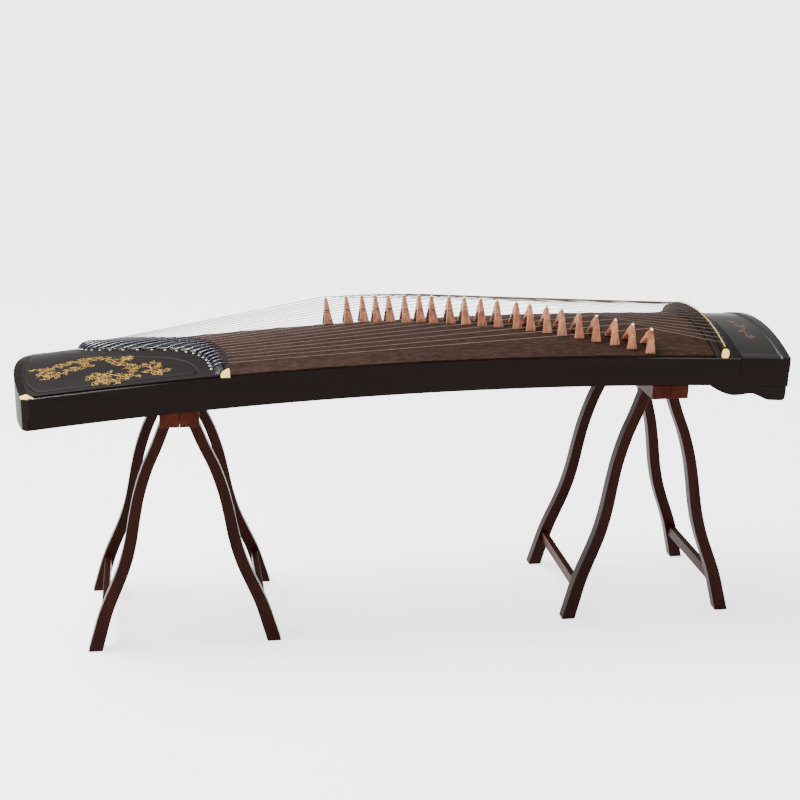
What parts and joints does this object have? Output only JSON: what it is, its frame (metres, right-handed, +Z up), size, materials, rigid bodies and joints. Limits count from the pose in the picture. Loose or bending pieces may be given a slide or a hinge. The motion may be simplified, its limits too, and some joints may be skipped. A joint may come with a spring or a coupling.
{
  "type": "guzheng",
  "caption": "Long zither with an arched soundboard, movable bridges under its strings, a tuning box with a hinged lid, and two folding trestles with wavy legs.",
  "frame": {"origin": "on the floor, under the middle of the instrument's length and width", "axes": "+X along the strings towards the head and its tuning box, -Y on the player's side, +Z up"},
  "size_m": [1.637, 0.372, 0.7173],
  "materials": {
    "black_lacquer": "near-black lacquer, semi-gloss",
    "soundboard_wood": "dark stained, fine straight grain, satin",
    "trestle_wood": "dark reddish brown varnish, semi-gloss",
    "bridge_wood": "striped rosewood, satin, with a pale tip",
    "pale_wood": "bare",
    "string_steel": "wound steel strings",
    "pin_steel": "plated, square head",
    "brass": "satin hinge"
  },
  "bodies": {
    "guzheng": {"soundboard": "soundboard_wood", "tail_board": "black_lacquer", "near_side_panel": "black_lacquer", "far_side_panel": "black_lacquer", "bottom_board": "black_lacquer", "tail_block": "black_lacquer", "rear_nut": "black_lacquer", "front_nut": "black_lacquer", "head_box": "pale_wood", "head_foot": "black_lacquer", "string_set": "string_steel"},
    "lid": {"tuning_lid": "black_lacquer"},
    "left_trestle": {"left_trestle_left_frame": "trestle_wood", "left_trestle_hinge": "brass"},
    "left_trestle_folding_half": {"left_trestle_right_frame": "trestle_wood"},
    "right_trestle": {"right_trestle_left_frame": "trestle_wood", "right_trestle_hinge": "brass"},
    "right_trestle_folding_half": {"right_trestle_right_frame": "trestle_wood"},
    "string_bridge_01": {"bridge_01": "bridge_wood"},
    "string_bridge_02": {"bridge_02": "bridge_wood"},
    "string_bridge_03": {"bridge_03": "bridge_wood"},
    "string_bridge_04": {"bridge_04": "bridge_wood"},
    "string_bridge_05": {"bridge_05": "bridge_wood"},
    "string_bridge_06": {"bridge_06": "bridge_wood"},
    "string_bridge_07": {"bridge_07": "bridge_wood"},
    "string_bridge_08": {"bridge_08": "bridge_wood"},
    "string_bridge_09": {"bridge_09": "bridge_wood"},
    "string_bridge_10": {"bridge_10": "bridge_wood"},
    "string_bridge_11": {"bridge_11": "bridge_wood"},
    "string_bridge_12": {"bridge_12": "bridge_wood"},
    "string_bridge_13": {"bridge_13": "bridge_wood"},
    "string_bridge_14": {"bridge_14": "bridge_wood"},
    "string_bridge_15": {"bridge_15": "bridge_wood"},
    "string_bridge_16": {"bridge_16": "bridge_wood"},
    "string_bridge_17": {"bridge_17": "bridge_wood"},
    "string_bridge_18": {"bridge_18": "bridge_wood"},
    "string_bridge_19": {"bridge_19": "bridge_wood"},
    "string_bridge_20": {"bridge_20": "bridge_wood"},
    "string_bridge_21": {"bridge_21": "bridge_wood"},
    "pin_01": {"tuning_pin_01": "pin_steel"},
    "pin_02": {"tuning_pin_02": "pin_steel"},
    "pin_03": {"tuning_pin_03": "pin_steel"},
    "pin_04": {"tuning_pin_04": "pin_steel"},
    "pin_05": {"tuning_pin_05": "pin_steel"},
    "pin_06": {"tuning_pin_06": "pin_steel"},
    "pin_07": {"tuning_pin_07": "pin_steel"},
    "pin_08": {"tuning_pin_08": "pin_steel"},
    "pin_09": {"tuning_pin_09": "pin_steel"},
    "pin_10": {"tuning_pin_10": "pin_steel"},
    "pin_11": {"tuning_pin_11": "pin_steel"},
    "pin_12": {"tuning_pin_12": "pin_steel"},
    "pin_13": {"tuning_pin_13": "pin_steel"},
    "pin_14": {"tuning_pin_14": "pin_steel"},
    "pin_15": {"tuning_pin_15": "pin_steel"},
    "pin_16": {"tuning_pin_16": "pin_steel"},
    "pin_17": {"tuning_pin_17": "pin_steel"},
    "pin_18": {"tuning_pin_18": "pin_steel"},
    "pin_19": {"tuning_pin_19": "pin_steel"},
    "pin_20": {"tuning_pin_20": "pin_steel"},
    "pin_21": {"tuning_pin_21": "pin_steel"}
  },
  "joints": [
    {"name": "guzheng_lift", "type": "slide", "parent": "left_trestle", "child": "guzheng", "axis": [0, 0, 1], "range_m": [0, 0.25]},
    {"name": "left_trestle_fold", "type": "hinge", "parent": "left_trestle", "child": "left_trestle_folding_half", "pos_m": [-0.484, 0, 0.4935], "axis": [0, 1, 0], "range_deg": [0, 36]},
    {"name": "lid_open", "type": "hinge", "parent": "guzheng", "child": "lid", "pos_m": [0.8185, 0, 0.583], "axis": [0, 1, 0], "range_deg": [0, 100]},
    {"name": "right_trestle_fold", "type": "hinge", "parent": "right_trestle", "child": "right_trestle_folding_half", "pos_m": [0.5535, 0.016, 0.5265], "axis": [0, 1, 0], "range_deg": [0, 33]},
    {"name": "right_trestle_stay", "type": "slide", "parent": "guzheng", "child": "right_trestle", "axis": [0, 0, 1], "range_m": [-0.25, 0]},
    {"name": "string_bridge_01_slide", "type": "slide", "parent": "guzheng", "child": "string_bridge_01", "axis": [0.9987, 0, 0.0502], "range_m": [-0.012, 0.012], "deforming": ["string_set"]},
    {"name": "string_bridge_02_slide", "type": "slide", "parent": "guzheng", "child": "string_bridge_02", "axis": [0.9989, 0, 0.0462], "range_m": [-0.012, 0.0105]},
    {"name": "string_bridge_03_slide", "type": "slide", "parent": "guzheng", "child": "string_bridge_03", "axis": [0.9991, 0, 0.0432], "range_m": [-0.0105, 0.0055]},
    {"name": "string_bridge_04_slide", "type": "slide", "parent": "guzheng", "child": "string_bridge_04", "axis": [0.9992, 0, 0.0407], "range_m": [-0.0055, 0.0045]},
    {"name": "string_bridge_05_slide", "type": "slide", "parent": "guzheng", "child": "string_bridge_05", "axis": [0.9993, 0, 0.0382], "range_m": [-0.0045, 0.0105]},
    {"name": "string_bridge_06_slide", "type": "slide", "parent": "guzheng", "child": "string_bridge_06", "axis": [0.9994, 0, 0.0351], "range_m": [-0.0105, 0.0075]},
    {"name": "string_bridge_07_slide", "type": "slide", "parent": "guzheng", "child": "string_bridge_07", "axis": [0.9995, 0, 0.0323], "range_m": [-0.0075, 0.0025]},
    {"name": "string_bridge_08_slide", "type": "slide", "parent": "guzheng", "child": "string_bridge_08", "axis": [0.9996, 0, 0.0299], "range_m": [-0.0025, 0.012]},
    {"name": "string_bridge_09_slide", "type": "slide", "parent": "guzheng", "child": "string_bridge_09", "axis": [0.9997, 0, 0.0263], "range_m": [-0.012, 0.0085]},
    {"name": "string_bridge_10_slide", "type": "slide", "parent": "guzheng", "child": "string_bridge_10", "axis": [0.9997, 0, 0.0232], "range_m": [-0.0085, 0.0105]},
    {"name": "string_bridge_11_slide", "type": "slide", "parent": "guzheng", "child": "string_bridge_11", "axis": [0.9998, 0, 0.0199], "range_m": [-0.0105, 0.0105]},
    {"name": "string_bridge_12_slide", "type": "slide", "parent": "guzheng", "child": "string_bridge_12", "axis": [0.9999, 0, 0.0165], "range_m": [-0.0105, 0.012]},
    {"name": "string_bridge_13_slide", "type": "slide", "parent": "guzheng", "child": "string_bridge_13", "axis": [0.9999, 0, 0.0125], "range_m": [-0.012, 0.0035]},
    {"name": "string_bridge_14_slide", "type": "slide", "parent": "guzheng", "child": "string_bridge_14", "axis": [1, 0, 0.0098], "range_m": [-0.0035, 0.0105]},
    {"name": "string_bridge_15_slide", "type": "slide", "parent": "guzheng", "child": "string_bridge_15", "axis": [1, 0, 0.0063], "range_m": [-0.0105, 0.0065]},
    {"name": "string_bridge_16_slide", "type": "slide", "parent": "guzheng", "child": "string_bridge_16", "axis": [1, 0, 0.0032], "range_m": [-0.0065, 0.0115]},
    {"name": "string_bridge_17_slide", "type": "slide", "parent": "guzheng", "child": "string_bridge_17", "axis": [1, 0, -0.0005], "range_m": [-0.0115, 0.0105]},
    {"name": "string_bridge_18_slide", "type": "slide", "parent": "guzheng", "child": "string_bridge_18", "axis": [1, 0, -0.0041], "range_m": [-0.0105, 0.012]},
    {"name": "string_bridge_19_slide", "type": "slide", "parent": "guzheng", "child": "string_bridge_19", "axis": [1, 0, -0.0082], "range_m": [-0.012, 0.0105]},
    {"name": "string_bridge_20_slide", "type": "slide", "parent": "guzheng", "child": "string_bridge_20", "axis": [0.9999, 0, -0.0119], "range_m": [-0.0105, 0.012]},
    {"name": "string_bridge_21_slide", "type": "slide", "parent": "guzheng", "child": "string_bridge_21", "axis": [0.9999, 0, -0.016], "range_m": [-0.012, 0.012]},
    {"name": "tuning_pin_01_turn", "type": "hinge", "parent": "guzheng", "child": "pin_01", "pos_m": [0.7385, 0.158, 0.5743], "axis": [0, 0, 1], "continuous": true},
    {"name": "tuning_pin_02_turn", "type": "hinge", "parent": "guzheng", "child": "pin_02", "pos_m": [0.7605, 0.1422, 0.57334], "axis": [0, 0, 1], "continuous": true},
    {"name": "tuning_pin_03_turn", "type": "hinge", "parent": "guzheng", "child": "pin_03", "pos_m": [0.7825, 0.1264, 0.57232], "axis": [0, 0, 1], "continuous": true},
    {"name": "tuning_pin_04_turn", "type": "hinge", "parent": "guzheng", "child": "pin_04", "pos_m": [0.7385, 0.1106, 0.5743], "axis": [0, 0, 1], "continuous": true},
    {"name": "tuning_pin_05_turn", "type": "hinge", "parent": "guzheng", "child": "pin_05", "pos_m": [0.7605, 0.0948, 0.57334], "axis": [0, 0, 1], "continuous": true},
    {"name": "tuning_pin_06_turn", "type": "hinge", "parent": "guzheng", "child": "pin_06", "pos_m": [0.7825, 0.079, 0.57232], "axis": [0, 0, 1], "continuous": true},
    {"name": "tuning_pin_07_turn", "type": "hinge", "parent": "guzheng", "child": "pin_07", "pos_m": [0.7385, 0.0632, 0.5743], "axis": [0, 0, 1], "continuous": true},
    {"name": "tuning_pin_08_turn", "type": "hinge", "parent": "guzheng", "child": "pin_08", "pos_m": [0.7605, 0.0474, 0.57334], "axis": [0, 0, 1], "continuous": true},
    {"name": "tuning_pin_09_turn", "type": "hinge", "parent": "guzheng", "child": "pin_09", "pos_m": [0.7825, 0.0316, 0.57232], "axis": [0, 0, 1], "continuous": true},
    {"name": "tuning_pin_10_turn", "type": "hinge", "parent": "guzheng", "child": "pin_10", "pos_m": [0.7385, 0.0158, 0.5743], "axis": [0, 0, 1], "continuous": true},
    {"name": "tuning_pin_11_turn", "type": "hinge", "parent": "guzheng", "child": "pin_11", "pos_m": [0.7605, 0, 0.57334], "axis": [0, 0, 1], "continuous": true},
    {"name": "tuning_pin_12_turn", "type": "hinge", "parent": "guzheng", "child": "pin_12", "pos_m": [0.7825, -0.0158, 0.57232], "axis": [0, 0, 1], "continuous": true},
    {"name": "tuning_pin_13_turn", "type": "hinge", "parent": "guzheng", "child": "pin_13", "pos_m": [0.7385, -0.0316, 0.5743], "axis": [0, 0, 1], "continuous": true},
    {"name": "tuning_pin_14_turn", "type": "hinge", "parent": "guzheng", "child": "pin_14", "pos_m": [0.7605, -0.0474, 0.57334], "axis": [0, 0, 1], "continuous": true},
    {"name": "tuning_pin_15_turn", "type": "hinge", "parent": "guzheng", "child": "pin_15", "pos_m": [0.7825, -0.0632, 0.57232], "axis": [0, 0, 1], "continuous": true},
    {"name": "tuning_pin_16_turn", "type": "hinge", "parent": "guzheng", "child": "pin_16", "pos_m": [0.7385, -0.079, 0.5743], "axis": [0, 0, 1], "continuous": true},
    {"name": "tuning_pin_17_turn", "type": "hinge", "parent": "guzheng", "child": "pin_17", "pos_m": [0.7605, -0.0948, 0.57334], "axis": [0, 0, 1], "continuous": true},
    {"name": "tuning_pin_18_turn", "type": "hinge", "parent": "guzheng", "child": "pin_18", "pos_m": [0.7825, -0.1106, 0.57232], "axis": [0, 0, 1], "continuous": true},
    {"name": "tuning_pin_19_turn", "type": "hinge", "parent": "guzheng", "child": "pin_19", "pos_m": [0.7385, -0.1264, 0.5743], "axis": [0, 0, 1], "continuous": true},
    {"name": "tuning_pin_20_turn", "type": "hinge", "parent": "guzheng", "child": "pin_20", "pos_m": [0.7605, -0.1422, 0.57334], "axis": [0, 0, 1], "continuous": true},
    {"name": "tuning_pin_21_turn", "type": "hinge", "parent": "guzheng", "child": "pin_21", "pos_m": [0.7825, -0.158, 0.57232], "axis": [0, 0, 1], "continuous": true}
  ],
  "couplings": [
    {"joint": "right_trestle_stay", "follows": "guzheng_lift", "ratio": -1}
  ]
}
